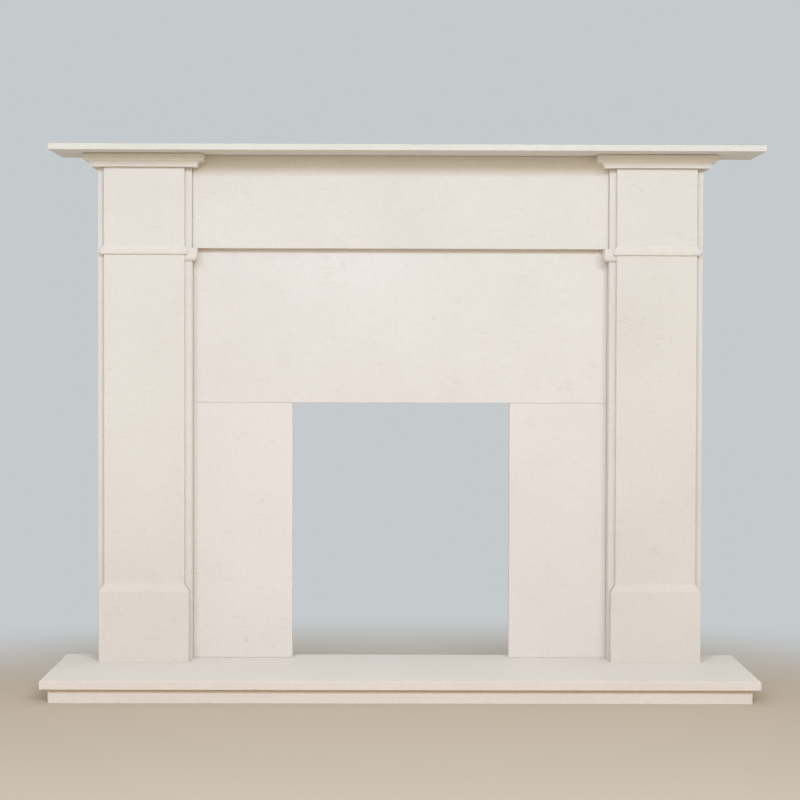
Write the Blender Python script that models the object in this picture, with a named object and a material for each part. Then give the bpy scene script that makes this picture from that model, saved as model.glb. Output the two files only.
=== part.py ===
"""A limestone fireplace: hearth, two legs, capitals, frieze, shelf and back panels.

Metres, +Z up. X runs along the shelf and +Y goes into the wall. The origin is on the floor, under the middle
of the shelf and halfway between the hearth's front and the wall.
"""

from dataclasses import dataclass
from math import cos, pi, sin, sqrt

import bmesh
import bpy

# Hairline joint between pieces that touch
JOINT = 0.0003

# Hearth
HEARTH_WIDTH = 1.483
HEARTH_DEPTH = 0.381
HEARTH_SLAB_THICKNESS = 0.0183
HEARTH_ARRIS = 0.003
RISER_HEIGHT = 0.030
RISER_THICKNESS = 0.020
RISER_SETBACK = 0.016

# Legs: the rear carcass, and the raised shaft in the middle of its front
CLEAR_WIDTH = 0.908
CARCASS_WIDTH = 0.2036
CARCASS_DEPTH = 0.094
LEG_HEIGHT = 1.0723
SHAFT_WIDTH = 0.174
SHAFT_STEP = 0.016

# Plinth at the foot of the shaft, ending in a stop chamfer
PLINTH_HEIGHT = 0.1535
PLINTH_FRONT_STEP = 0.012
PLINTH_SIDE_STEP = 0.0105
STOP_CHAMFER_HEIGHT = 0.0155

# Bead band around the shaft, and its return over the outer strip
BEAD_BASE_ABOVE_HEARTH = 0.8835
BEAD_HEIGHT = 0.020
BEAD_STEP = 0.007
BEAD_NOSE_SHARE = 0.15
BEAD_RETURN_STEP = 0.003
BEAD_RETURN_HEIGHT = 0.0125
BEAD_RETURN_INSET = 0.0008
BEAD_SIDES = 10

# Corbel on each leg's inner corner, which the frieze sits on
CORBEL_HEIGHT = 0.0284
CORBEL_SIDE_STEP = 0.0115
CORBEL_FRONT_STEP = 0.012
CORBEL_CURVE_HEIGHT = 0.0105
CORBEL_SIDES = 6

# Capitals: how far each profile stands out of the carcass's sides and the shaft's face
CAPITAL_HEIGHT = 0.0285
CAPITAL_INWARD_SHIFT = 0.001
FASCIA_STEP = 0.0277
FASCIA_HEIGHT = 0.0135
FASCIA_ARRIS = 0.0015
COVE_TOP_STEP = 0.0242
COVE_FOOT_STEP = 0.0127
COVE_FOOT_HEIGHT = 0.0015
COVE_SIDES = 6

# Frieze
FRIEZE_HEIGHT = 0.202
FRIEZE_FACE_FROM_WALL = 0.078

# Back panels around the fire opening
PANEL_FACE_FROM_WALL = 0.050
PANEL_THICKNESS = 0.030
PANEL_BEHIND_FRIEZE = 0.060
OPENING_WIDTH = 0.477
OPENING_HEIGHT = 0.5625
OPENING_SHIFT = 0.002

# Mantel shelf, which sits a little to the right of the legs
SHELF_LENGTH = 1.524
SHELF_DEPTH = 0.208
SHELF_THICKNESS = 0.0132
SHELF_ARRIS = 0.001
SHELF_SHIFT = 0.0134

# Small arris on the sawn slabs
SLAB_ARRIS = 0.0008

# Places that follow from the sizes above
LEGS_CENTRE_X = -SHELF_SHIFT
WALL_Y = HEARTH_DEPTH / 2
HEARTH_UNDERSIDE_Z = RISER_HEIGHT + JOINT
HEARTH_TOP_Z = HEARTH_UNDERSIDE_Z + HEARTH_SLAB_THICKNESS
LEG_FOOT_Z = HEARTH_TOP_Z + JOINT
LEG_TOP_Z = LEG_FOOT_Z + LEG_HEIGHT
CAPITAL_FOOT_Z = LEG_TOP_Z + JOINT
CAPITAL_TOP_Z = CAPITAL_FOOT_Z + CAPITAL_HEIGHT
SHELF_UNDERSIDE_Z = CAPITAL_TOP_Z + JOINT
SHELF_TOP_Z = SHELF_UNDERSIDE_Z + SHELF_THICKNESS
FRIEZE_FOOT_Z = CAPITAL_TOP_Z - FRIEZE_HEIGHT
CARCASS_FACE_Y = WALL_Y - CARCASS_DEPTH
SHAFT_FACE_Y = CARCASS_FACE_Y - SHAFT_STEP
FRIEZE_FACE_Y = WALL_Y - FRIEZE_FACE_FROM_WALL
PANEL_FACE_Y = WALL_Y - PANEL_FACE_FROM_WALL
PANEL_FOOT_Z = HEARTH_TOP_Z + JOINT
PANEL_JOINT_Z = HEARTH_TOP_Z + OPENING_HEIGHT
LEG_CENTRE_FROM_MIDDLE = (CLEAR_WIDTH + CARCASS_WIDTH) / 2


@dataclass(frozen=True)
class Stone:
    """A plain stone material."""

    name: str
    colour: tuple[float, float, float]
    roughness: float = 0.75

    def material(self) -> bpy.types.Material:
        """Returns the Blender material, made once."""
        made = bpy.data.materials.get(self.name)
        if made:
            return made
        made = bpy.data.materials.new(self.name)
        made.use_nodes = True
        shader = made.node_tree.nodes["Principled BSDF"]
        shader.inputs["Base Color"].default_value = (*self.colour, 1.0)
        shader.inputs["Roughness"].default_value = self.roughness
        return made


SHELF_STONE = Stone("shelf_stone", (0.76, 0.74, 0.69), 0.6)
SURROUND_STONE = Stone("surround_stone", (0.74, 0.70, 0.65), 0.78)
PANEL_STONE = Stone("panel_stone", (0.73, 0.69, 0.64), 0.78)
HEARTH_STONE = Stone("hearth_stone", (0.68, 0.64, 0.59), 0.7)


def loft(name: str, rings: list[list[tuple[float, float, float]]], stone: Stone) -> bpy.types.Object:
    """Makes a closed solid from rings of points, each ring above the last.

    Args:
        name: The object's name.
        rings: Rings with the same number of points each, counter-clockwise as seen from above.
        stone: The material.

    Returns:
        The new object.
    """
    mesh = bpy.data.meshes.new(name)
    form = bmesh.new()
    made = [[form.verts.new(point) for point in ring] for ring in rings]
    count = len(rings[0])
    form.faces.new(list(reversed(made[0])))
    form.faces.new(made[-1])
    for lower, upper in zip(made, made[1:]):
        for i in range(count):
            j = (i + 1) % count
            form.faces.new((lower[i], lower[j], upper[j], upper[i]))
    bmesh.ops.recalc_face_normals(form, faces=form.faces)
    form.to_mesh(mesh)
    form.free()
    mesh.materials.append(stone.material())
    made_object = bpy.data.objects.new(name, mesh)
    bpy.context.scene.collection.objects.link(made_object)
    return made_object


def rectangle(
    x: tuple[float, float], y: tuple[float, float], z: float, inset: float = 0.0
) -> list[tuple[float, float, float]]:
    """Returns a level rectangle's corners, drawn in by inset on each side."""
    x0, x1 = min(x) + inset, max(x) - inset
    y0, y1 = min(y) + inset, max(y) - inset
    return [(x0, y0, z), (x1, y0, z), (x1, y1, z), (x0, y1, z)]


def slab(
    name: str,
    x: tuple[float, float],
    y: tuple[float, float],
    z: tuple[float, float],
    stone: Stone,
    foot_arris: float = SLAB_ARRIS,
    top_arris: float = SLAB_ARRIS,
) -> bpy.types.Object:
    """Makes a rectangular slab whose lower and upper edges are broken by a small arris."""
    z0, z1 = z
    rings = [rectangle(x, y, z0, foot_arris)]
    if foot_arris:
        rings.append(rectangle(x, y, z0 + foot_arris))
    rings.append(rectangle(x, y, z1 - top_arris))
    if top_arris:
        rings.append(rectangle(x, y, z1, top_arris))
    return loft(name, rings, stone)


def add_to(base: bpy.types.Object, other: bpy.types.Object) -> None:
    """Joins other to base with an exact Boolean, and keeps other as a hidden helper."""
    union = base.modifiers.new(f"join_{other.name}", "BOOLEAN")
    union.operation = "UNION"
    union.solver = "EXACT"
    union.object = other
    other.hide_render = True
    other.display_type = "WIRE"


def bead_step(share: float, step: float) -> float:
    """Returns the bead's projection at a share of its height: a tight curve under the nose, a long one over it."""
    if share < BEAD_NOSE_SHARE:
        return step * sqrt(1.0 - (1.0 - share / BEAD_NOSE_SHARE) ** 2)
    return step * max(0.0, cos(pi / 2 * (share - BEAD_NOSE_SHARE) / (1.0 - BEAD_NOSE_SHARE)))


@dataclass(frozen=True)
class Leg:
    """One leg, carved in one. side is -1 for the left leg and 1 for the right."""

    name: str
    side: int

    @property
    def centre_x(self) -> float:
        """The leg's own centre line."""
        return LEGS_CENTRE_X + self.side * LEG_CENTRE_FROM_MIDDLE

    @property
    def inner_x(self) -> float:
        """The carcass's side facing the opening."""
        return self.centre_x - self.side * CARCASS_WIDTH / 2

    @property
    def outer_x(self) -> float:
        """The carcass's side facing away from the opening."""
        return self.centre_x + self.side * CARCASS_WIDTH / 2

    def build(self) -> bpy.types.Object:
        """Builds the carcass and joins the shaft, the bead's return and the corbel to it."""
        carcass = loft(
            self.name,
            [
                rectangle((self.inner_x, self.outer_x), (CARCASS_FACE_Y, WALL_Y), z)
                for z in (LEG_FOOT_Z, LEG_TOP_Z)
            ],
            SURROUND_STONE,
        )
        add_to(carcass, self.shaft())
        add_to(carcass, self.bead_return())
        add_to(carcass, self.corbel())
        return carcass

    def shaft(self) -> bpy.types.Object:
        """Makes plinth, stop chamfer, shaft, bead band and upper block as one stack of rectangles."""
        bead_foot = LEG_FOOT_Z + BEAD_BASE_ABOVE_HEARTH
        plinth_top = LEG_FOOT_Z + PLINTH_HEIGHT
        levels = [
            (LEG_FOOT_Z, PLINTH_SIDE_STEP, PLINTH_FRONT_STEP),
            (plinth_top, PLINTH_SIDE_STEP, PLINTH_FRONT_STEP),
            (plinth_top + STOP_CHAMFER_HEIGHT, 0.0, 0.0),
        ]
        for i in range(BEAD_SIDES + 1):
            share = (1.0 - cos(pi * i / BEAD_SIDES)) / 2
            step = bead_step(share, BEAD_STEP)
            levels.append((bead_foot + share * BEAD_HEIGHT, step, step))
        levels.append((LEG_TOP_Z, 0.0, 0.0))
        buried_y = CARCASS_FACE_Y + CARCASS_DEPTH / 2
        half = SHAFT_WIDTH / 2
        rings = []
        for z, side_step, front_step in levels:
            x = (self.centre_x - half - side_step, self.centre_x + half + side_step)
            rings.append(rectangle(x, (SHAFT_FACE_Y - front_step, buried_y), z))
        return loft(f"{self.name}_shaft", rings, SURROUND_STONE)

    def bead_return(self) -> bpy.types.Object:
        """Makes the bead's return across the outer strip."""
        middle = LEG_FOOT_Z + BEAD_BASE_ABOVE_HEARTH + BEAD_HEIGHT / 2
        foot = middle - BEAD_RETURN_HEIGHT / 2
        buried_y = CARCASS_FACE_Y + CARCASS_DEPTH / 2
        x = (self.centre_x, self.outer_x - self.side * BEAD_RETURN_INSET)
        rings = []
        for i in range(BEAD_SIDES + 1):
            share = (1.0 - cos(pi * i / BEAD_SIDES)) / 2
            front_y = CARCASS_FACE_Y - bead_step(share, BEAD_RETURN_STEP)
            rings.append(rectangle(x, (front_y, buried_y), foot + share * BEAD_RETURN_HEIGHT))
        return loft(f"{self.name}_bead_return", rings, SURROUND_STONE)

    def corbel(self) -> bpy.types.Object:
        """Makes the corbel: upright above, and a quarter round below that dies into the carcass."""
        top = FRIEZE_FOOT_Z - JOINT
        foot = top - CORBEL_HEIGHT
        back_y = PANEL_FACE_Y - JOINT
        buried_x = self.inner_x + self.side * CARCASS_WIDTH / 4
        levels = []
        for i in range(CORBEL_SIDES + 1):
            angle = (pi / 2) * i / CORBEL_SIDES
            levels.append((foot + CORBEL_CURVE_HEIGHT * (1.0 - cos(angle)), sin(angle)))
        levels.append((top, 1.0))
        rings = []
        for z, share in levels:
            inner = self.inner_x - self.side * (CORBEL_SIDE_STEP * share)
            front = CARCASS_FACE_Y - CORBEL_FRONT_STEP * share
            rings.append(rectangle((inner, buried_x), (front, back_y), z))
        return loft(f"{self.name}_corbel", rings, SURROUND_STONE)


@dataclass(frozen=True)
class Capital:
    """A cornice block on a leg, moulded on its front and both sides."""

    name: str
    leg: Leg

    def build(self) -> bpy.types.Object:
        """Builds the block. Its inner end is notched to pass in front of the frieze."""
        rings = [self.ring(z, step) for z, step in self.profile()]
        return loft(self.name, rings, SURROUND_STONE)

    def profile(self) -> list[tuple[float, float]]:
        """Returns (height, projection from the leg) from the soffit upwards."""
        fascia_foot = CAPITAL_TOP_Z - FASCIA_HEIGHT
        cove_foot = CAPITAL_FOOT_Z + COVE_FOOT_HEIGHT
        cove_top = fascia_foot - FASCIA_ARRIS
        points = [(CAPITAL_FOOT_Z, COVE_FOOT_STEP)]
        for i in range(COVE_SIDES + 1):
            angle = (pi / 2) * i / COVE_SIDES
            step = COVE_TOP_STEP - (COVE_TOP_STEP - COVE_FOOT_STEP) * cos(angle)
            points.append((cove_foot + (cove_top - cove_foot) * sin(angle), step))
        points.append((fascia_foot - FASCIA_ARRIS, FASCIA_STEP - FASCIA_ARRIS))
        points.append((fascia_foot, FASCIA_STEP))
        points.append((CAPITAL_TOP_Z - FASCIA_ARRIS, FASCIA_STEP))
        points.append((CAPITAL_TOP_Z, FASCIA_STEP - FASCIA_ARRIS))
        return points

    def ring(self, z: float, step: float) -> list[tuple[float, float, float]]:
        """Returns the plan at one height, counter-clockwise as seen from above."""
        side = self.leg.side
        centre = self.leg.centre_x - side * CAPITAL_INWARD_SHIFT
        half = CARCASS_WIDTH / 2 + step
        outer = centre + side * half
        inner = centre - side * half
        notch_x = self.leg.inner_x + side * JOINT
        notch_y = FRIEZE_FACE_Y - JOINT
        front = SHAFT_FACE_Y - step
        plan = [
            (outer, WALL_Y, z),
            (outer, front, z),
            (inner, front, z),
            (inner, notch_y, z),
            (notch_x, notch_y, z),
            (notch_x, WALL_Y, z),
        ]
        return plan if side < 0 else list(reversed(plan))


def build_hearth() -> None:
    """Builds the hearth slab and the riser strips under it."""
    x0 = LEGS_CENTRE_X - HEARTH_WIDTH / 2
    x1 = LEGS_CENTRE_X + HEARTH_WIDTH / 2
    front_y = WALL_Y - HEARTH_DEPTH
    slab(
        "hearth_slab",
        (x0, x1),
        (front_y, WALL_Y),
        (HEARTH_UNDERSIDE_Z, HEARTH_TOP_Z),
        HEARTH_STONE,
        top_arris=HEARTH_ARRIS,
    )
    riser_front = front_y + RISER_SETBACK
    riser_back = riser_front + RISER_THICKNESS
    riser_z = (0.0, RISER_HEIGHT)
    left, right = x0 + RISER_SETBACK, x1 - RISER_SETBACK
    slab("hearth_riser_front", (left, right), (riser_front, riser_back), riser_z, HEARTH_STONE)
    sides = (riser_back + JOINT, WALL_Y)
    slab("hearth_riser_left", (left, left + RISER_THICKNESS), sides, riser_z, HEARTH_STONE)
    slab("hearth_riser_right", (right - RISER_THICKNESS, right), sides, riser_z, HEARTH_STONE)


def build_back_panels() -> None:
    """Builds the three slabs around the fire opening."""
    y = (PANEL_FACE_Y, PANEL_FACE_Y + PANEL_THICKNESS)
    half = CLEAR_WIDTH / 2 - JOINT
    left, right = LEGS_CENTRE_X - half, LEGS_CENTRE_X + half
    opening_centre = LEGS_CENTRE_X + OPENING_SHIFT
    upright_z = (PANEL_FOOT_Z, PANEL_JOINT_Z - JOINT)
    slab("back_panel_left", (left, opening_centre - OPENING_WIDTH / 2), y, upright_z, PANEL_STONE)
    slab("back_panel_right", (opening_centre + OPENING_WIDTH / 2, right), y, upright_z, PANEL_STONE)
    slab("back_panel_top", (left, right), y, (PANEL_JOINT_Z, FRIEZE_FOOT_Z + PANEL_BEHIND_FRIEZE), PANEL_STONE)


def build_frieze() -> None:
    """Builds the frieze between the legs, from the corbels up to the shelf."""
    half = CLEAR_WIDTH / 2 - JOINT
    slab(
        "frieze",
        (LEGS_CENTRE_X - half, LEGS_CENTRE_X + half),
        (FRIEZE_FACE_Y, PANEL_FACE_Y - JOINT),
        (FRIEZE_FOOT_Z, CAPITAL_TOP_Z),
        SURROUND_STONE,
    )


def build_shelf() -> None:
    """Builds the shelf over legs and frieze."""
    slab(
        "mantel_shelf",
        (-SHELF_LENGTH / 2, SHELF_LENGTH / 2),
        (WALL_Y - SHELF_DEPTH, WALL_Y),
        (SHELF_UNDERSIDE_Z, SHELF_TOP_Z),
        SHELF_STONE,
        foot_arris=SHELF_ARRIS,
        top_arris=SHELF_ARRIS,
    )


def clear_scene() -> None:
    """Removes what the startup file holds."""
    for old in list(bpy.data.objects):
        bpy.data.objects.remove(old)


def main() -> None:
    """Builds every piece of the fireplace."""
    clear_scene()
    build_hearth()
    build_back_panels()
    for name, side in (("left", -1), ("right", 1)):
        leg = Leg(f"leg_{name}", side)
        leg.build()
        Capital(f"capital_{name}", leg).build()
    build_frieze()
    build_shelf()


if __name__ == "__main__":
    main()
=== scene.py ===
"""The looks of a limestone fireplace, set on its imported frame.

Metres, +Z up. X runs along the mantel shelf, and +Y goes back to the wall. Left and right are as seen from
the front. Every stone is shaped anew with its softened arrises and fine mouldings, inside the space of the
solid that it stands for.
"""

import logging
from collections.abc import Callable, Sequence
from dataclasses import dataclass, field
from enum import Enum
from math import cos, pi, radians, sin, sqrt

import bmesh
import bpy
from mathutils import Matrix, Vector

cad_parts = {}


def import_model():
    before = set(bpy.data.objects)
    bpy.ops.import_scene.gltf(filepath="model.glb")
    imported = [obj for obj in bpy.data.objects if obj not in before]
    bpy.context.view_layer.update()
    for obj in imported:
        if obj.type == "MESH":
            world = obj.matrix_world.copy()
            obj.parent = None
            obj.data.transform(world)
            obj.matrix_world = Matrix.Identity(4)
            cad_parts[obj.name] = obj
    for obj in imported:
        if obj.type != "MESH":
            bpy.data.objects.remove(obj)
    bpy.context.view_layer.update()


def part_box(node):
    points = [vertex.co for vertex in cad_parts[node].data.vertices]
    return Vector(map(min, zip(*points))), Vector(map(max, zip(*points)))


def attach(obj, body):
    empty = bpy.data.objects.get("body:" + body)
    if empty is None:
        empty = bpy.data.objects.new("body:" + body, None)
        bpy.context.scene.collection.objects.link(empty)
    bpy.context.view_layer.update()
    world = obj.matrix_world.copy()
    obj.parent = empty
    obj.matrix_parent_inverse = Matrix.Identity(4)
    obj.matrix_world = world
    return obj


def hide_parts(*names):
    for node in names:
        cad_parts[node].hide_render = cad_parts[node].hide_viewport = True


log = logging.getLogger("fireplace")

ROOT_BODY = "root"
# Hairline joint between stones that touch
JOINT = 0.0003
# How far up a bead its nose is, as a share of its height
BEAD_NOSE = 0.15
# Points that are nearer than this are one, and heights nearer than this are level
NEAR = 0.00001
# Noise and chance values vary about this
MEAN = 0.5

Colour = tuple[float, float, float]
Point = tuple[float, float, float]
EdgeTest = Callable[[Vector, Vector], bool]


def linear(red: int, green: int, blue: int) -> Colour:
    """Turns a screen colour into the linear colour that shaders take.

    Args:
        red: Its red, from 0 to 255.
        green: Its green.
        blue: Its blue.

    Returns:
        The linear colour, from 0 to 1.
    """

    def channel(value: int) -> float:
        """Returns one channel after the sRGB standard's curve."""
        share = value / 255.0
        return share / 12.92 if share <= 0.04045 else ((share + 0.055) / 1.055) ** 2.4

    return channel(red), channel(green), channel(blue)


class Side(Enum):
    """Which end of the fireplace a piece stands at, as seen from the front."""

    LEFT = -1
    RIGHT = 1

    @property
    def word(self) -> str:
        """The side's name in node names."""
        return self.name.lower()


@dataclass(frozen=True)
class Layer:
    """One layer of fractal noise.

    Attributes:
        per_metre: Features to the metre.
        detail: How many finer octaves it has.
        rough: How strong each octave is beside the one before.
    """

    per_metre: float
    detail: float
    rough: float


@dataclass(frozen=True)
class Specks:
    """Specks scattered over the stone.

    Attributes:
        per_metre: Cells to the metre, each of which may hold one speck.
        radius: A speck's radius as a share of a cell.
        share: How many of the cells hold one, from 0 to 1.
        colour: The specks' colour.
        core: How much of the radius has the full colour, as a share.
        strong: How many of the specks have the full colour, as a share.
    """

    per_metre: float
    radius: float
    share: float
    colour: Colour
    core: float = 0.4
    strong: float = 0.5


class Field:
    """A number that varies over a surface, for use in Python expressions."""

    def __init__(self, graph: "Graph", socket: bpy.types.NodeSocket) -> None:
        """Wraps one output socket of a graph."""
        self.graph = graph
        self.socket = socket

    def __add__(self, other: "Field | float") -> "Field":
        """Returns self + other."""
        return self.graph.math("ADD", self, other)

    def __radd__(self, other: "Field | float") -> "Field":
        """Returns other + self."""
        return self.graph.math("ADD", other, self)

    def __sub__(self, other: "Field | float") -> "Field":
        """Returns self - other."""
        return self.graph.math("SUBTRACT", self, other)

    def __rsub__(self, other: "Field | float") -> "Field":
        """Returns other - self."""
        return self.graph.math("SUBTRACT", other, self)

    def __mul__(self, other: "Field | float") -> "Field":
        """Returns self * other."""
        return self.graph.math("MULTIPLY", self, other)

    def __rmul__(self, other: "Field | float") -> "Field":
        """Returns other * self."""
        return self.graph.math("MULTIPLY", other, self)

    def clamp(self) -> "Field":
        """Returns the value held between 0 and 1."""
        node = self.graph.node("ShaderNodeClamp", {}, {"Value": self})
        return Field(self.graph, node.outputs["Result"])

    def step(self, low: float, high: float) -> "Field":
        """Makes a smooth rise out of the value.

        Args:
            low: Where the rise starts, at 0.
            high: Where it ends, at 1.

        Returns:
            The rise.
        """
        node = self.graph.node(
            "ShaderNodeMapRange",
            {"interpolation_type": "SMOOTHSTEP"},
            {"Value": self, "From Min": low, "From Max": high},
        )
        return Field(self.graph, node.outputs["Result"])


class Graph:
    """The nodes of one material or of the world."""

    def __init__(self, owner: bpy.types.Material | bpy.types.World) -> None:
        """Starts from the owner's own shader and output.

        Args:
            owner: The material or world.
        """
        owner.use_nodes = True
        self.tree = owner.node_tree
        kinds = {node.type: node for node in self.tree.nodes}
        self.shader = kinds.get("BSDF_PRINCIPLED") or kinds["BACKGROUND"]
        self.output = kinds.get("OUTPUT_MATERIAL") or kinds["OUTPUT_WORLD"]

    def node(
        self, kind: str, settings: dict[str, object], values: dict[str | int, object]
    ) -> bpy.types.Node:
        """Adds a node.

        Args:
            kind: The node's type.
            settings: Its own settings, which are set first.
            values: Values or links for its input sockets, by name or number.

        Returns:
            The new node.
        """
        made = self.tree.nodes.new(kind)
        for name, value in settings.items():
            setattr(made, name, value)
        for name, value in values.items():
            self.feed(made.inputs[name], value)
        return made

    def feed(self, socket: bpy.types.NodeSocket, value: object) -> None:
        """Gives an input its value.

        Args:
            socket: The input.
            value: A number, a colour or point, or a field or output to link to it.
        """
        if isinstance(value, Field):
            self.tree.links.new(value.socket, socket)
        elif isinstance(value, bpy.types.NodeSocket):
            self.tree.links.new(value, socket)
        elif isinstance(value, tuple) and socket.type == "RGBA":
            socket.default_value = (*value, 1.0)
        else:
            socket.default_value = value

    def math(self, operation: str, first: Field | float, second: Field | float) -> Field:
        """Works out one sum.

        Args:
            operation: The kind of sum.
            first: What it starts from.
            second: What is added to it, taken away from it or multiplied with it.

        Returns:
            The result.
        """
        made = self.node("ShaderNodeMath", {"operation": operation}, {0: first, 1: second})
        return Field(self, made.outputs["Value"])

    def place(self, shift: Point) -> bpy.types.NodeSocket:
        """Reads the piece's own coordinates.

        Args:
            shift: How far they are moved, in metres.

        Returns:
            The coordinates, in metres.
        """
        source = self.node("ShaderNodeTexCoord", {}, {})
        made = self.node("ShaderNodeMapping", {}, {"Vector": source.outputs["Object"], "Location": shift})
        return made.outputs["Vector"]

    def stretch(self, place: bpy.types.NodeSocket, by: Point) -> bpy.types.NodeSocket:
        """Draws a pattern out.

        Args:
            place: Coordinates.
            by: Their scale along each axis. The pattern is drawn out where this is small.

        Returns:
            The scaled coordinates.
        """
        made = self.node("ShaderNodeMapping", {}, {"Vector": place, "Scale": by})
        return made.outputs["Vector"]

    def noise_node(self, place: bpy.types.NodeSocket, layer: Layer) -> bpy.types.Node:
        """Adds a node of fractal noise.

        Args:
            place: Coordinates.
            layer: The noise's scale and detail.

        Returns:
            The new node.
        """
        return self.node(
            "ShaderNodeTexNoise",
            {"noise_dimensions": "3D"},
            {
                "Vector": place,
                "Scale": layer.per_metre,
                "Detail": layer.detail,
                "Roughness": layer.rough,
            },
        )

    def noise(self, place: bpy.types.NodeSocket, layer: Layer) -> Field:
        """Returns a layer of fractal noise."""
        return Field(self, self.noise_node(place, layer).outputs["Fac"])

    def mix(self, share: Field, first: object, second: object) -> bpy.types.NodeSocket:
        """Mixes two colours.

        Args:
            share: How much of the second there is, from 0 to 1.
            first: A colour, or an output that gives one.
            second: Another.

        Returns:
            The mixed colour.
        """
        made = self.node("ShaderNodeMix", {"data_type": "RGBA"}, {"Factor": share, 6: first, 7: second})
        return made.outputs[2]

    def warp(self, place: bpy.types.NodeSocket, layer: Layer, reach: float) -> bpy.types.NodeSocket:
        """Pushes coordinates about by noise, so that cells lose their even outlines.

        Args:
            place: Coordinates.
            layer: The noise.
            reach: How far it moves a point at most along each axis, in metres.

        Returns:
            The moved coordinates.
        """
        noise = self.noise_node(place, layer)
        push = self.node(
            "ShaderNodeVectorMath",
            {"operation": "MULTIPLY_ADD"},
            {0: noise.outputs["Color"], 1: (2.0 * reach,) * 3, 2: (-reach,) * 3},
        )
        moved = self.node(
            "ShaderNodeVectorMath", {"operation": "ADD"}, {0: place, 1: push.outputs["Vector"]}
        )
        return moved.outputs["Vector"]

    def cells(self, place: bpy.types.NodeSocket, per_metre: float) -> tuple[Field, Field]:
        """Packs the surface with cells.

        Args:
            place: Coordinates.
            per_metre: Cells to the metre.

        Returns:
            The distance from the nearest cell's centre, and a chance value for each cell.
        """
        made = self.node("ShaderNodeTexVoronoi", {"feature": "F1"}, {"Vector": place, "Scale": per_metre})
        parts = self.node("ShaderNodeSeparateColor", {}, {"Color": made.outputs["Color"]})
        return Field(self, made.outputs["Distance"]), Field(self, parts.outputs["Red"])

    def specks(self, place: bpy.types.NodeSocket, specks: Specks) -> Field:
        """Makes a mask of scattered specks.

        Args:
            place: Coordinates.
            specks: Their size and number.

        Returns:
            1 inside a speck and 0 outside.
        """
        distance, chance = self.cells(place, specks.per_metre)
        inside = 1.0 - distance.step(specks.radius * specks.core, specks.radius)
        return inside * chance.step(1.0 - specks.share, 1.0 - specks.share * specks.strong)


# What the stone's pattern is made of
CLOUDS = Layer(3.1, 3.0, 0.55)
MOTTLE = Layer(75.0, 3.0, 0.6)
GRAIN = Layer(1500.0, 2.0, 0.6)
SHELLS_PER_METRE = 420.0
SHELL_WARP = Layer(240.0, 1.0, 0.5)
SHELL_WARP_REACH = 0.0016
# Short level marks, cut out of the noise between two of its values
BEDDING = Layer(150.0, 2.0, 0.5)
BEDDING_STRETCH = (0.32, 0.32, 1.0)
BEDDING_EDGE = (0.56, 0.72)
# Where the stone shows its bedding at all
BEDDING_PATCHES = Layer(17.0, 2.0, 0.5)
BEDDING_PATCH_EDGE = (0.48, 0.62)
LARGE_SPECKS = Specks(52.0, 0.085, 0.12, linear(120, 96, 70))
SMALL_SPECKS = Specks(170.0, 0.2, 0.05, linear(120, 100, 78))


@dataclass(frozen=True)
class Relief:
    """The stone's fine relief.

    Attributes:
        depth: The height in metres of a share of 1.
        strength: How much of it is shown, from 0 to 1.
        grain: The share of the finest noise in it.
        mottle: The share of the mottles.
        shells: The share of the shell grains.
        large_specks: How deep the large specks are sunk.
        small_specks: How deep the small ones are.
    """

    depth: float = 0.0003
    strength: float = 0.3
    grain: float = 0.5
    mottle: float = 0.4
    shells: float = 0.3
    large_specks: float = 0.8
    small_specks: float = 0.3


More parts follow.
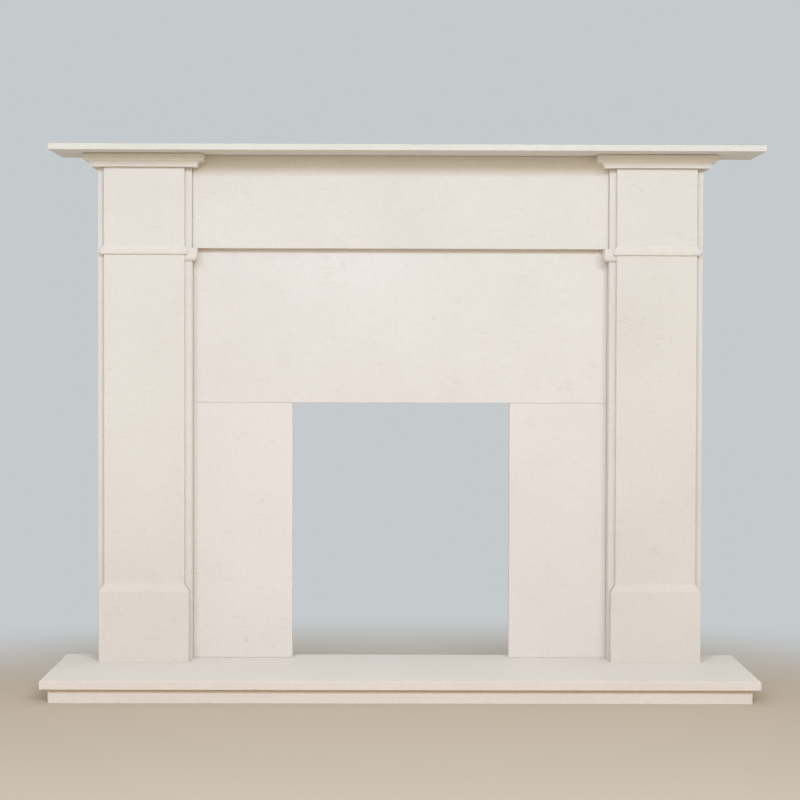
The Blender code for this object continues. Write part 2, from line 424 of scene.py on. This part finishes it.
@dataclass(frozen=True)
class StoneFinish:
    """One surface of the limestone.

    The stone is an even cream with faint clouds, shell grains one to three millimetres across, short bedding
    marks and a few brown specks.

    Attributes:
        slot: The record's material slot.
        body: The stone's middle tone.
        roughness: Its mean roughness.
        spread: How far its lightest and darkest common tones lie from the middle one.
        tint: How much cooler the lightest tone is, and how much warmer the darkest.
        clouds: The share of the clouds in the stone's tone.
        mottle: The share of the mottles.
        grain: The share of the finest noise.
        shells: The share of the shell grains.
        bedding: The share of the bedding marks.
        large_specks: How strong the large specks' colour is.
        small_specks: How strong the small ones' is.
        mottle_roughness: How much the mottles vary the roughness.
        shell_roughness: How much the shell grains vary it.
        specular: The strength of its sheen.
        matt: How evenly it scatters light.
        relief: Its fine relief.
    """

    slot: str
    body: Colour
    roughness: float
    spread: float = 0.125
    tint: float = 0.02
    clouds: float = 0.5
    mottle: float = 0.3
    grain: float = 0.2
    shells: float = 0.16
    bedding: float = 0.22
    large_specks: float = 0.32
    small_specks: float = 0.16
    mottle_roughness: float = 0.12
    shell_roughness: float = 0.06
    specular: float = 0.4
    matt: float = 0.7
    relief: Relief = Relief()

    @property
    def dark(self) -> Colour:
        """The stone's darkest common tone."""
        return self.toned(1.0 - self.spread, -self.tint)

    @property
    def light(self) -> Colour:
        """The stone's lightest common tone."""
        return self.toned(1.0 + self.spread, self.tint)

    def toned(self, gain: float, cool: float) -> Colour:
        """Changes the body colour.

        Args:
            gain: How much lighter it gets, as a factor.
            cool: How much cooler it gets, or warmer below 0.

        Returns:
            The new colour.
        """
        red, green, blue = (channel * gain for channel in self.body)
        return red * (1.0 - cool), green, blue * (1.0 + cool)

    def dress(self, piece: bpy.types.Object, shift: Point, tone: float) -> None:
        """Gives a piece this finish.

        Args:
            piece: The stone.
            shift: Moves the pattern, so that no two stones share it.
            tone: How much darker (below 0) or lighter this stone's colour is than its neighbours'. The right
                leg's darkening is painted shade.
        """
        material = bpy.data.materials.new(f"{self.slot}_{piece.name}")
        graph = Graph(material)
        place = graph.place(shift)
        warped = graph.warp(place, SHELL_WARP, SHELL_WARP_REACH)
        clouds = graph.noise(place, CLOUDS) - MEAN
        mottle = graph.noise(place, MOTTLE) - MEAN
        grain = graph.noise(place, GRAIN) - MEAN
        edge, chance = graph.cells(warped, SHELLS_PER_METRE)
        bed = graph.noise(graph.stretch(place, BEDDING_STRETCH), BEDDING).step(*BEDDING_EDGE)
        bed = bed * graph.noise(place, BEDDING_PATCHES).step(*BEDDING_PATCH_EDGE)
        tones = clouds * self.clouds + mottle * self.mottle + grain * self.grain
        tones = tones + (chance - MEAN) * self.shells - bed * self.bedding
        stone = graph.mix((tones + (MEAN + tone)).clamp(), self.dark, self.light)
        large = graph.specks(warped, LARGE_SPECKS)
        small = graph.specks(warped, SMALL_SPECKS)
        stone = graph.mix(large * self.large_specks, stone, LARGE_SPECKS.colour)
        stone = graph.mix(small * self.small_specks, stone, SMALL_SPECKS.colour)
        raised = grain * self.relief.grain + mottle * self.relief.mottle + edge * self.relief.shells
        height = raised - large * self.relief.large_specks - small * self.relief.small_specks
        bump = graph.node(
            "ShaderNodeBump",
            {},
            {"Height": height, "Strength": self.relief.strength, "Distance": self.relief.depth},
        )
        smoothest = self.roughness - self.shell_roughness * MEAN
        roughness = mottle * self.mottle_roughness + chance * self.shell_roughness + smoothest
        graph.feed(graph.shader.inputs["Base Color"], stone)
        graph.feed(graph.shader.inputs["Roughness"], roughness)
        graph.feed(graph.shader.inputs["Normal"], bump.outputs["Normal"])
        graph.feed(graph.shader.inputs["Specular IOR Level"], self.specular)
        graph.feed(graph.shader.inputs["Diffuse Roughness"], self.matt)
        piece.data.materials.clear()
        piece.data.materials.append(material)


SURROUND = StoneFinish(slot="surround_stone", body=linear(226, 219, 208), roughness=0.72)
SHELF = StoneFinish(slot="shelf_stone", body=linear(221, 216, 204), roughness=0.58)
PANEL = StoneFinish(slot="panel_stone", body=linear(229, 222, 213), roughness=0.72)
HEARTH = StoneFinish(slot="hearth_stone", body=linear(224, 215, 203), roughness=0.6)


@dataclass(frozen=True)
class Plan:
    """A level rectangle.

    Attributes:
        x: Its two ends along X, in either order.
        y: Its front and back.
        z: Its height.
    """

    x: tuple[float, float]
    y: tuple[float, float]
    z: float

    @property
    def centre(self) -> Vector:
        """The rectangle's middle."""
        return Vector((sum(self.x) / 2, sum(self.y) / 2, self.z))

    @property
    def size(self) -> tuple[float, float]:
        """Its width along X and depth along Y."""
        return abs(self.x[1] - self.x[0]), abs(self.y[1] - self.y[0])


class Bench:
    """Modelling steps on one stone at a time."""

    # Faces that meet at less than this are shaded as one curve
    SMOOTH_ANGLE = radians(38.0)
    # How strongly large faces keep their flat shading beside a rounding
    FLATNESS = 100

    @staticmethod
    def activate(piece: bpy.types.Object) -> None:
        """Selects one piece alone and makes it active.

        Args:
            piece: The stone.
        """
        if bpy.context.mode != "OBJECT":
            bpy.ops.object.mode_set(mode="OBJECT")
        bpy.ops.object.select_all(action="DESELECT")
        piece.select_set(True)
        bpy.context.view_layer.objects.active = piece

    @classmethod
    def settle(cls, piece: bpy.types.Object) -> None:
        """Puts a piece's place and size into its mesh."""
        cls.activate(piece)
        bpy.ops.object.transform_apply(location=True, rotation=True, scale=True)

    @classmethod
    def block(cls, name: str, low: Sequence[float], high: Sequence[float]) -> bpy.types.Object:
        """Adds a block.

        Args:
            name: The piece's name.
            low: Its lowest corner.
            high: Its highest corner.

        Returns:
            The new piece.
        """
        bpy.ops.object.select_all(action="DESELECT")
        centre = [(a + b) / 2 for a, b in zip(low, high)]
        size = [abs(b - a) for a, b in zip(low, high)]
        bpy.ops.mesh.primitive_cube_add(size=1.0, location=centre, scale=size)
        piece = bpy.context.object
        piece.name = name
        piece.data.name = name
        cls.settle(piece)
        return piece

    @classmethod
    def stack(cls, name: str, plans: Sequence[Plan]) -> bpy.types.Object:
        """Raises a moulded block through a series of rectangular plans.

        Args:
            name: The piece's name.
            plans: The rectangle at each height, from the foot upwards.

        Returns:
            The new piece, closed at foot and top.
        """
        foot = plans[0]
        bpy.ops.object.select_all(action="DESELECT")
        bpy.ops.mesh.primitive_plane_add(size=1.0, location=foot.centre)
        piece = bpy.context.object
        piece.scale = (*foot.size, 1.0)
        piece.name = name
        piece.data.name = name
        cls.settle(piece)
        bpy.ops.object.mode_set(mode="EDIT")
        bpy.ops.mesh.select_mode(type="FACE")
        bpy.ops.mesh.select_all(action="SELECT")
        for lower, upper in zip(plans, plans[1:]):
            move = upper.centre - lower.centre
            bpy.ops.mesh.extrude_region_move(TRANSFORM_OT_translate={"value": move})
            grow = (upper.size[0] / lower.size[0], upper.size[1] / lower.size[1], 1.0)
            bpy.ops.transform.resize(value=grow, center_override=upper.centre)
        bpy.ops.mesh.select_all(action="SELECT")
        bpy.ops.mesh.normals_make_consistent(inside=False)
        bpy.ops.object.mode_set(mode="OBJECT")
        return piece

    @classmethod
    def soften(cls, piece: bpy.types.Object, width: float, facets: int, test: EdgeTest) -> None:
        """Rounds the edges that a test picks.

        Args:
            piece: The stone.
            width: The rounding's width.
            facets: Its number of facets.
            test: Says of an edge's two ends whether it is rounded.
        """
        cls.activate(piece)
        bpy.ops.object.mode_set(mode="EDIT")
        bpy.ops.mesh.select_mode(type="EDGE")
        bpy.ops.mesh.select_all(action="DESELECT")
        form = bmesh.from_edit_mesh(piece.data)
        for edge in form.edges:
            edge.select_set(test(edge.verts[0].co, edge.verts[1].co))
        bmesh.update_edit_mesh(piece.data)
        bpy.ops.mesh.bevel(
            offset=width,
            offset_type="OFFSET",
            segments=facets,
            profile=0.5,
            affect="EDGES",
            clamp_overlap=True,
        )
        bpy.ops.object.mode_set(mode="OBJECT")

    @classmethod
    def combine(cls, base: bpy.types.Object, other: bpy.types.Object, operation: str) -> None:
        """Joins one piece to another or cuts it out.

        Args:
            base: The piece that stays.
            other: The piece that is joined to it or cut out of it, and then removed.
            operation: UNION to join, or DIFFERENCE to cut.
        """
        modifier = base.modifiers.new("combine", "BOOLEAN")
        modifier.operation = operation
        modifier.solver = "EXACT"
        modifier.object = other
        cls.activate(base)
        bpy.ops.object.modifier_apply(modifier=modifier.name)
        bpy.data.objects.remove(other)

    @classmethod
    def finish(cls, piece: bpy.types.Object) -> None:
        """Cleans a stone's mesh, and shades its roundings smoothly and its faces flat.

        Args:
            piece: The stone.
        """
        cls.activate(piece)
        bpy.ops.object.mode_set(mode="EDIT")
        bpy.ops.mesh.select_all(action="SELECT")
        bpy.ops.mesh.remove_doubles(threshold=NEAR)
        bpy.ops.mesh.normals_make_consistent(inside=False)
        bpy.ops.object.mode_set(mode="OBJECT")
        bpy.ops.object.shade_smooth_by_angle(angle=cls.SMOOTH_ANGLE)
        modifier = piece.modifiers.new("face_normals", "WEIGHTED_NORMAL")
        modifier.keep_sharp = True
        modifier.weight = cls.FLATNESS
        bpy.ops.object.modifier_apply(modifier=modifier.name)


def set_stone(
    piece: bpy.types.Object, node: str, finish: StoneFinish, shift: Point, tone: float = 0.0
) -> None:
    """Finishes a stone, dresses it, and puts it in the place of its solid.

    Args:
        piece: The stone.
        node: The solid that it stands for.
        finish: Its surface.
        shift: Moves the surface's pattern.
        tone: How much darker (below 0) or lighter its colour is than its neighbours'. The right leg's
            darkening is painted shade.
    """
    Bench.finish(piece)
    finish.dress(piece, shift, tone)
    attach(piece, ROOT_BODY)
    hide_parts(node)
    log.info("%s: %d faces", piece.name, len(piece.data.polygons))


def any_edge(first: Vector, second: Vector) -> bool:
    """Picks every edge."""
    return True


def upright(first: Vector, second: Vector) -> bool:
    """Picks the edges that aren't level."""
    return abs(first.z - second.z) > NEAR


@dataclass
class Slab:
    """A sawn slab with softened arrises.

    Attributes:
        node: The solid that it stands for, whose space it fills.
        name: The piece's name.
        finish: Its surface.
        shift: Moves the surface's pattern.
        arris: The width of its roundings.
        top_arris: Their width round the top and on the uprights, where it differs.
        tone: How much darker (below 0) or lighter it is than its neighbours.
        arris_facets: The facets of a rounding.
        top_arris_facets: The facets of one that differs.
    """

    node: str
    name: str
    finish: StoneFinish
    shift: Point
    arris: float = 0.0011
    top_arris: float | None = None
    tone: float = 0.0
    arris_facets: int = 3
    top_arris_facets: int = 4

    def build(self) -> None:
        """Shapes the slab and sets it in place."""
        low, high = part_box(self.node)
        piece = Bench.block(self.name, low, high)
        if self.top_arris is None:
            Bench.soften(piece, self.arris, self.arris_facets, any_edge)
        else:
            Bench.soften(piece, self.top_arris, self.top_arris_facets, self.on_top(high.z))
            Bench.soften(piece, self.arris, self.arris_facets, self.at_foot(low.z))
        set_stone(piece, self.node, self.finish, self.shift, self.tone)

    @staticmethod
    def on_top(top: float) -> EdgeTest:
        """Returns a test for edges of the top face and the uprights."""
        return lambda first, second: max(first.z, second.z) > top - NEAR

    @staticmethod
    def at_foot(foot: float) -> EdgeTest:
        """Returns a test for edges of the lower face."""
        return lambda first, second: max(first.z, second.z) < foot + NEAR


def bead_rise(facets: int) -> list[tuple[float, float]]:
    """Draws a bead: a tight curve out to its nose, and a long one back to the face above.

    Args:
        facets: The number of facets.

    Returns:
        Points as (share of the bead's height, share of its projection), foot first.
    """
    rises = []
    for i in range(facets + 1):
        share = (1.0 - cos(pi * i / facets)) / 2
        if share < BEAD_NOSE:
            rise = sqrt(1.0 - (1.0 - share / BEAD_NOSE) ** 2)
        else:
            rise = max(0.0, cos(pi / 2 * (share - BEAD_NOSE) / (1.0 - BEAD_NOSE)))
        rises.append((share, rise))
    return rises


@dataclass
class Leg:
    """A leg, carved in one: rear carcass, raised shaft on a plinth, bead band and corbel.

    A step is how far a form stands out from the face behind or beside it. Bead foot and plinth height are
    measured from the hearth, and each other height is that of the form itself.
    """

    side: Side
    shift: Point
    # How much darker (below 0) or lighter its colour is; the right leg's darkening is painted shade
    tone: float
    carcass_width: float = 0.2036
    carcass_depth: float = 0.094
    shaft_width: float = 0.174
    shaft_step: float = 0.016
    plinth_height: float = 0.1535
    plinth_front_step: float = 0.012
    plinth_side_step: float = 0.0105
    stop_height: float = 0.0155
    bead_foot: float = 0.8835
    bead_height: float = 0.02
    bead_step: float = 0.007
    return_height: float = 0.0125
    return_step: float = 0.003
    return_inset: float = 0.0008
    corbel_height: float = 0.0284
    corbel_side_step: float = 0.0115
    corbel_front_step: float = 0.012
    corbel_curve: float = 0.0105
    corbel_rounding: float = 0.002
    arris: float = 0.0012
    arris_facets: int = 3
    bead_facets: int = 16
    corbel_facets: int = 10
    corbel_rounding_facets: int = 4
    low: Vector = field(init=False)
    high: Vector = field(init=False)

    def __post_init__(self) -> None:
        """Reads the leg's space from the frame."""
        self.low, self.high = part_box(self.node)

    @property
    def node(self) -> str:
        """The solid that this stone stands for."""
        return f"leg_{self.side.word}"

    @property
    def outer_x(self) -> float:
        """The carcass's side away from the opening."""
        return self.high.x if self.side is Side.RIGHT else self.low.x

    @property
    def inner_x(self) -> float:
        """The carcass's side towards the opening."""
        return self.outer_x - self.side.value * self.carcass_width

    @property
    def centre_x(self) -> float:
        """The leg's centre line."""
        return (self.outer_x + self.inner_x) / 2

    @property
    def carcass_y(self) -> float:
        """The carcass's front face."""
        return self.high.y - self.carcass_depth

    @property
    def shaft_y(self) -> float:
        """The shaft's front face."""
        return self.carcass_y - self.shaft_step

    @property
    def buried_y(self) -> float:
        """How far what stands on the carcass goes back into it."""
        return self.carcass_y + self.carcass_depth / 2

    @property
    def plinth_top(self) -> float:
        """The top of the plinth, where the stop chamfer starts."""
        return self.low.z + self.plinth_height

    @property
    def stop_top(self) -> float:
        """The top of the stop chamfer, where the shaft starts."""
        return self.low.z + self.plinth_height + self.stop_height

    def build(self) -> None:
        """Shapes the leg and sets it in place."""
        piece = self.carcass()
        Bench.combine(piece, self.shaft(), "UNION")
        Bench.combine(piece, self.bead_return(), "UNION")
        Bench.combine(piece, self.corbel(), "UNION")
        set_stone(piece, self.node, SURROUND, self.shift, self.tone)

    def carcass(self) -> bpy.types.Object:
        """Shapes the rear block.

        Returns:
            The block, which the other forms are joined to.
        """
        piece = Bench.block(
            f"carved_leg_{self.side.word}",
            (min(self.inner_x, self.outer_x), self.carcass_y, self.low.z),
            (max(self.inner_x, self.outer_x), self.high.y, self.high.z),
        )
        Bench.soften(piece, self.arris, self.arris_facets, upright)
        return piece

    def shaft_plan(self, height: float, side_step: float, front_step: float) -> Plan:
        """Draws the shaft's plan.

        Args:
            height: Its height above the hearth.
            side_step: How far it stands out from the shaft's sides.
            front_step: How far it stands out from the shaft's front.

        Returns:
            The plan.
        """
        half = self.shaft_width / 2 + side_step
        return Plan(
            (self.centre_x - half, self.centre_x + half),
            (self.shaft_y - front_step, self.buried_y),
            self.low.z + height,
        )

    def shaft(self) -> bpy.types.Object:
        """Shapes plinth, stop chamfer, shaft, bead band and upper block.

        Returns:
            The shaft.
        """
        plans = [
            self.shaft_plan(0.0, self.plinth_side_step, self.plinth_front_step),
            self.shaft_plan(self.plinth_height, self.plinth_side_step, self.plinth_front_step),
            self.shaft_plan(self.plinth_height + self.stop_height, 0.0, 0.0),
        ]
        for share, rise in bead_rise(self.bead_facets):
            step = self.bead_step * rise
            plans.append(self.shaft_plan(self.bead_foot + share * self.bead_height, step, step))
        plans.append(self.shaft_plan(self.high.z - self.low.z, 0.0, 0.0))
        piece = Bench.stack(f"shaft_{self.side.word}", plans)
        Bench.soften(piece, self.arris, self.arris_facets, self.shaft_arris)
        return piece

    def shaft_arris(self, first: Vector, second: Vector) -> bool:
        """Picks the shaft's front corners, and the two arrises of the stop chamfer.

        Args:
            first: One end of an edge.
            second: Its other end.

        Returns:
            Whether the edge is rounded.
        """
        if max(first.y, second.y) > self.carcass_y:
            return False
        if upright(first, second):
            return True
        return min(abs(first.z - self.plinth_top), abs(first.z - self.stop_top)) < NEAR

    def bead_return(self) -> bpy.types.Object:
        """Shapes the bead's return over the outer strip.

        Returns:
            The return.
        """
        middle = self.low.z + self.bead_foot + self.bead_height / 2
        foot = middle - self.return_height / 2
        end = self.outer_x - self.side.value * self.return_inset
        plans = [
            Plan(
                (self.centre_x, end),
                (self.carcass_y - self.return_step * rise, self.buried_y),
                foot + share * self.return_height,
            )
            for share, rise in bead_rise(self.bead_facets)
        ]
        return Bench.stack(f"return_{self.side.word}", plans)

    def corbel(self) -> bpy.types.Object:
        """Shapes the corbel that the frieze's end sits on.

        Returns:
            The corbel.
        """
        frieze_low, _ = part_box("frieze")
        panel_low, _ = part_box("back_panel_top")
        top = frieze_low.z - JOINT
        foot = top - self.corbel_height
        back_y = panel_low.y - JOINT
        buried_x = self.inner_x + self.side.value * self.carcass_width / 4
        levels = [
            (foot + self.corbel_curve * (1.0 - cos(angle)), sin(angle))
            for angle in (pi / 2 * i / self.corbel_facets for i in range(self.corbel_facets + 1))
        ]
        levels.append((top, 1.0))
        plans = [
            Plan(
                (self.inner_x - self.side.value * self.corbel_side_step * share, buried_x),
                (self.carcass_y - self.corbel_front_step * share, back_y),
                z,
            )
            for z, share in levels
        ]
        piece = Bench.stack(f"corbel_{self.side.word}", plans)
        Bench.soften(piece, self.corbel_rounding, self.corbel_rounding_facets, self.corbel_arris)
        return piece

    def corbel_arris(self, first: Vector, second: Vector) -> bool:
        """Picks the corbel's upright corner towards the opening.

        Args:
            first: One end of an edge.
            second: Its other end.

        Returns:
            Whether the edge is rounded.
        """
        at_front = max(first.y, second.y) < self.carcass_y + NEAR
        inward = -self.side.value
        towards = min(inward * first.x, inward * second.x) > inward * self.inner_x - NEAR
        return upright(first, second) and at_front and towards


@dataclass
class Capital:
    """A cornice block on a leg: flat soffit, cove, small step and fascia.

    A step is how far a form stands out from the leg's carcass. A height is that of the form itself.
    """

    # How far the cutting block reaches past what it cuts away
    CUT_MARGIN = 0.02
    # The small step's underside is all but level
    STEP_RISE = 0.00001

    side: Side
    shift: Point
    fascia_step: float = 0.0277
    fascia_height: float = 0.0135
    fascia_arris: float = 0.002
    cove_top_step: float = 0.0242
    cove_foot_step: float = 0.0127
    cove_foot_height: float = 0.0015
    cove_facets: int = 10

    @property
    def node(self) -> str:
        """The solid that this stone stands for."""
        return f"capital_{self.side.word}"

    def build(self) -> None:
        """Shapes the capital and sets it in place."""
        low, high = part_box(self.node)
        plans = []
        for z, step in self.profile(low.z, high.z):
            back = self.fascia_step - step
            plans.append(Plan((low.x + back, high.x - back), (low.y + back, high.y), z))
        piece = Bench.stack(f"moulded_capital_{self.side.word}", plans)
        Bench.combine(piece, self.notch(low, high), "DIFFERENCE")
        set_stone(piece, self.node, SURROUND, self.shift)

    def profile(self, foot: float, top: float) -> list[tuple[float, float]]:
        """Draws the capital's moulding.

        Args:
            foot: The height of its foot.
            top: The height of its top.

        Returns:
            Points as (height, step), foot first.
        """
        fascia_foot = top - self.fascia_height
        cove_foot = foot + self.cove_foot_height
        cove_top = fascia_foot - self.fascia_arris
        levels = [(foot, self.cove_foot_step)]
        for i in range(self.cove_facets + 1):
            angle = pi / 2 * i / self.cove_facets
            step = self.cove_top_step - (self.cove_top_step - self.cove_foot_step) * cos(angle)
            levels.append((cove_foot + (cove_top - cove_foot) * sin(angle), step))
        levels.append((cove_top + self.STEP_RISE, self.fascia_step - self.fascia_arris))
        levels.append((fascia_foot, self.fascia_step))
        levels.append((top - self.fascia_arris, self.fascia_step))
        levels.append((top, self.fascia_step - self.fascia_arris))
        return levels

    def notch(self, low: Vector, high: Vector) -> bpy.types.Object:
        """Makes the block that is cut away where the capital passes in front of the frieze.

        Args:
            low: The capital's lowest corner.
            high: Its highest corner.

        Returns:
            The cutting block.
        """
        frieze_low, frieze_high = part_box("frieze")
        if self.side is Side.LEFT:
            x = (frieze_low.x, high.x + self.CUT_MARGIN)
        else:
            x = (low.x - self.CUT_MARGIN, frieze_high.x)
        return Bench.block(
            "notch",
            (x[0], frieze_low.y - JOINT, low.z - self.CUT_MARGIN),
            (x[1], high.y + self.CUT_MARGIN, high.z + self.CUT_MARGIN),
        )


class Fireplace:
    """All the stones, from the hearth upwards."""

    def build(self) -> None:
        """Shapes every stone."""
        self.hearth()
        self.back_panel()
        self.surround()

    def hearth(self) -> None:
        """Shapes the slab that everything stands on, and the strips that lift it."""
        Slab(
            "hearth_slab", "honed_hearth_slab", HEARTH, (2.9, 7.3, 5.1), arris=0.0012, top_arris=0.003
        ).build()
        for node, name, shift in (
            ("hearth_riser_front", "front_riser", (9.4, 3.8, 0.6)),
            ("hearth_riser_left", "left_riser", (5.5, 6.1, 8.2)),
            ("hearth_riser_right", "right_riser", (0.8, 9.9, 4.4)),
        ):
            Slab(node, name, HEARTH, shift, arris=0.0008).build()

    def back_panel(self) -> None:
        """Shapes the three flat slabs around the fire opening."""
        for node, name, shift, tone in (
            ("back_panel_top", "slip_over_opening", (7.2, 4.6, 1.1), 0.0),
            ("back_panel_left", "slip_left", (1.3, 2.7, 9.8), 0.02),
            ("back_panel_right", "slip_right", (10.2, 0.9, 6.7), -0.02),
        ):
            Slab(node, name, PANEL, shift, tone=tone).build()

    def surround(self) -> None:
        """Shapes legs, capitals, frieze and shelf."""
        for side, leg_shift, capital_shift, tone in (
            (Side.LEFT, (3.1, 0.4, 7.7), (8.3, 2.2, 1.9), 0.0),
            # The right leg's tone of -0.14 darkens its colour: painted shade
            (Side.RIGHT, (11.6, 5.2, 2.4), (4.9, 9.1, 6.0), -0.14),
        ):
            Leg(side, leg_shift, tone).build()
            Capital(side, capital_shift).build()
        Slab("frieze", "sawn_frieze", SURROUND, (1.7, 8.8, 3.3), arris=0.0014).build()
        Slab("mantel_shelf", "honed_shelf", SHELF, (6.6, 1.2, 9.5), arris=0.0014).build()


@dataclass(frozen=True)
class Lamp:
    """A rectangular soft light, which the camera doesn't see."""

    name: str
    place: Point
    size: tuple[float, float]
    watts: float
    colour: Colour
    aim: Point = (0.0, 0.0, 0.6)

    def light(self) -> None:
        """Hangs the lamp, turned to its aim."""
        turn = (Vector(self.aim) - Vector(self.place)).to_track_quat("-Z", "Y").to_euler()
        bpy.ops.object.light_add(type="AREA", location=self.place, rotation=turn)
        lamp = bpy.context.object
        lamp.name = self.name
        lamp.visible_camera = False
        lamp.data.shape = "RECTANGLE"
        lamp.data.size, lamp.data.size_y = self.size
        lamp.data.energy = self.watts
        lamp.data.color = self.colour


@dataclass
class Studio:
    """Floor, soft light and camera.

    Angles are in degrees. Even light comes from all round, and changes from that of the front to that of the
    back where the Y of its direction lies within ambient_turn.
    """

    LAMPS = (
        Lamp("left_low_box", (-0.9, -4.2, 1.6), (1.6, 0.7), 29.7, (1.0, 1.0, 0.783)),
        Lamp("left_high_box", (-0.9, -4.2, 2.3), (1.6, 0.7), 54.9, (0.343, 0.527, 1.0)),
        Lamp("right_high_box", (0.9, -4.2, 2.3), (1.6, 0.7), 92.4, (0.762, 0.857, 1.0)),
        Lamp("floor_fill", (0.0, -4.2, 0.35), (3.2, 0.5), 10.0, (1.0, 0.5, 0.0)),
    )

    front_ambient: Colour = (0.503, 0.455, 0.379)
    back_ambient: Colour = (0.42, 0.42, 0.42)
    ambient_turn: tuple[float, float] = (-0.25, 0.25)
    camera_place: Point = (-0.0444, -4.5442, 0.7404)
    pitch_down: float = 1.507
    yaw_right: float = 0.373
    roll_left: float = 0.153
    focal_pixels: float = 2132.0
    frame_pixels: float = 800.0
    sensor_mm: float = 36.0
    floor_radius: float = 40.0
    floor_corners: int = 96
    floor_roughness: float = 0.9
    floor_fade: tuple[float, float] = (1.25, 2.3)
    floor_middle: Point = (0.0, -1.0, 0.0)
    floor_colour: Colour = linear(217, 201, 179)
    backdrop: Colour = linear(197, 202, 205)

    def build(self) -> None:
        """Sets the stage."""
        self.floor()
        self.lights()
        self.camera()

    def floor(self) -> None:
        """Lays a plain pale floor that fades into the backdrop's colour away from the fireplace."""
        bpy.ops.object.select_all(action="DESELECT")
        bpy.ops.mesh.primitive_circle_add(
            vertices=self.floor_corners, radius=self.floor_radius, fill_type="NGON", location=(0.0, 0.0, 0.0)
        )
        floor = bpy.context.object
        floor.name = "studio_floor"
        material = bpy.data.materials.new("plain_floor")
        graph = Graph(material)
        graph.feed(graph.shader.inputs["Base Color"], self.floor_colour)
        graph.feed(graph.shader.inputs["Roughness"], self.floor_roughness)
        place = graph.place(tuple(-value for value in self.floor_middle))
        length = graph.node("ShaderNodeVectorMath", {"operation": "LENGTH"}, {0: place})
        far = Field(graph, length.outputs["Value"]).step(*self.floor_fade)
        backdrop = graph.node("ShaderNodeEmission", {}, {"Color": self.backdrop})
        fade = graph.node(
            "ShaderNodeMixShader",
            {},
            {0: far, 1: graph.shader.outputs["BSDF"], 2: backdrop.outputs["Emission"]},
        )
        graph.feed(graph.output.inputs["Surface"], fade.outputs["Shader"])
        floor.data.materials.append(material)

    def lights(self) -> None:
        """Adds the lamps and even light all round, in front of a plain backdrop."""
        world = bpy.data.worlds.new("studio")
        bpy.context.scene.world = world
        graph = Graph(world)
        source = graph.node("ShaderNodeTexCoord", {}, {})
        parts = graph.node("ShaderNodeSeparateXYZ", {}, {0: source.outputs["Generated"]})
        behind = Field(graph, parts.outputs["Y"]).step(*self.ambient_turn)
        ambient = graph.mix(behind, self.front_ambient, self.back_ambient)
        graph.feed(graph.shader.inputs["Color"], ambient)
        backdrop = graph.node("ShaderNodeBackground", {}, {"Color": self.backdrop})
        rays = graph.node("ShaderNodeLightPath", {}, {})
        shown = graph.node(
            "ShaderNodeMixShader",
            {},
            {
                0: rays.outputs["Is Camera Ray"],
                1: graph.shader.outputs["Background"],
                2: backdrop.outputs["Background"],
            },
        )
        graph.feed(graph.output.inputs["Surface"], shown.outputs["Shader"])
        for lamp in self.LAMPS:
            lamp.light()

    def camera(self) -> None:
        """Places the camera as the photograph's was."""
        yaw, pitch, roll = (radians(a) for a in (self.yaw_right, self.pitch_down, self.roll_left))
        ahead = Vector((sin(yaw) * cos(pitch), cos(yaw) * cos(pitch), -sin(pitch)))
        right = Vector((cos(yaw), -sin(yaw), 0.0))
        up = right.cross(ahead)
        level_right = right * cos(roll) + up * sin(roll)
        level_up = up * cos(roll) - right * sin(roll)
        turn = Matrix((level_right, level_up, -ahead)).transposed()
        bpy.ops.object.camera_add(location=self.camera_place, rotation=turn.to_euler())
        camera = bpy.context.object
        camera.data.sensor_width = self.sensor_mm
        camera.data.lens = self.focal_pixels * self.sensor_mm / self.frame_pixels
        bpy.context.scene.camera = camera
        bpy.context.scene.view_settings.view_transform = "Standard"


def main() -> None:
    """Sets the stage and builds the fireplace's stones in order."""
    logging.basicConfig(level=logging.INFO, format="%(message)s")
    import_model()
    Studio().build()
    Fireplace().build()
    bpy.context.view_layer.update()


if __name__ == "__main__":
    main()
